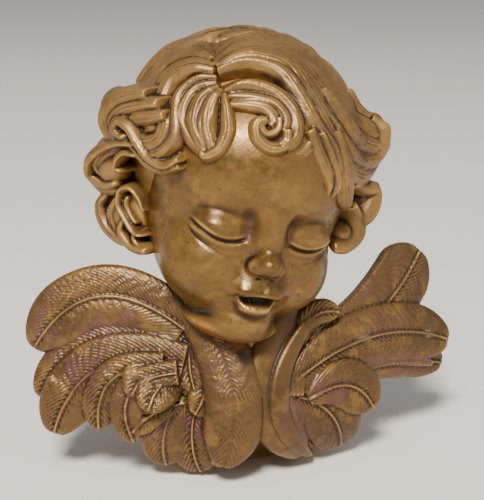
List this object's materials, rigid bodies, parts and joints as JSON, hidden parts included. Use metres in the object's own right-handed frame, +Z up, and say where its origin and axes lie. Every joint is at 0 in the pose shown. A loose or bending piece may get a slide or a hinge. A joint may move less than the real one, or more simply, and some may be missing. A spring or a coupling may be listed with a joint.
{
  "type": "winged putto head sculpture",
  "caption": "Child's head with closed eyes and curled hair, tilted above two folded feathered wings, cast in one piece and standing on the lower wing lobes.",
  "frame": {"origin": "middle of the bounding box, on the flat underside that the wing lobes stand on", "axes": "+Z up, the face looks along -Y, +X towards the right wing as seen from the front"},
  "size_m": [0.225, 0.137, 0.2193],
  "materials": {
    "cast": "worn bronze-gold paint over purple-brown, satin"
  },
  "bodies": {
    "root": {"winged_putto_head": "cast"}
  },
  "joints": []
}
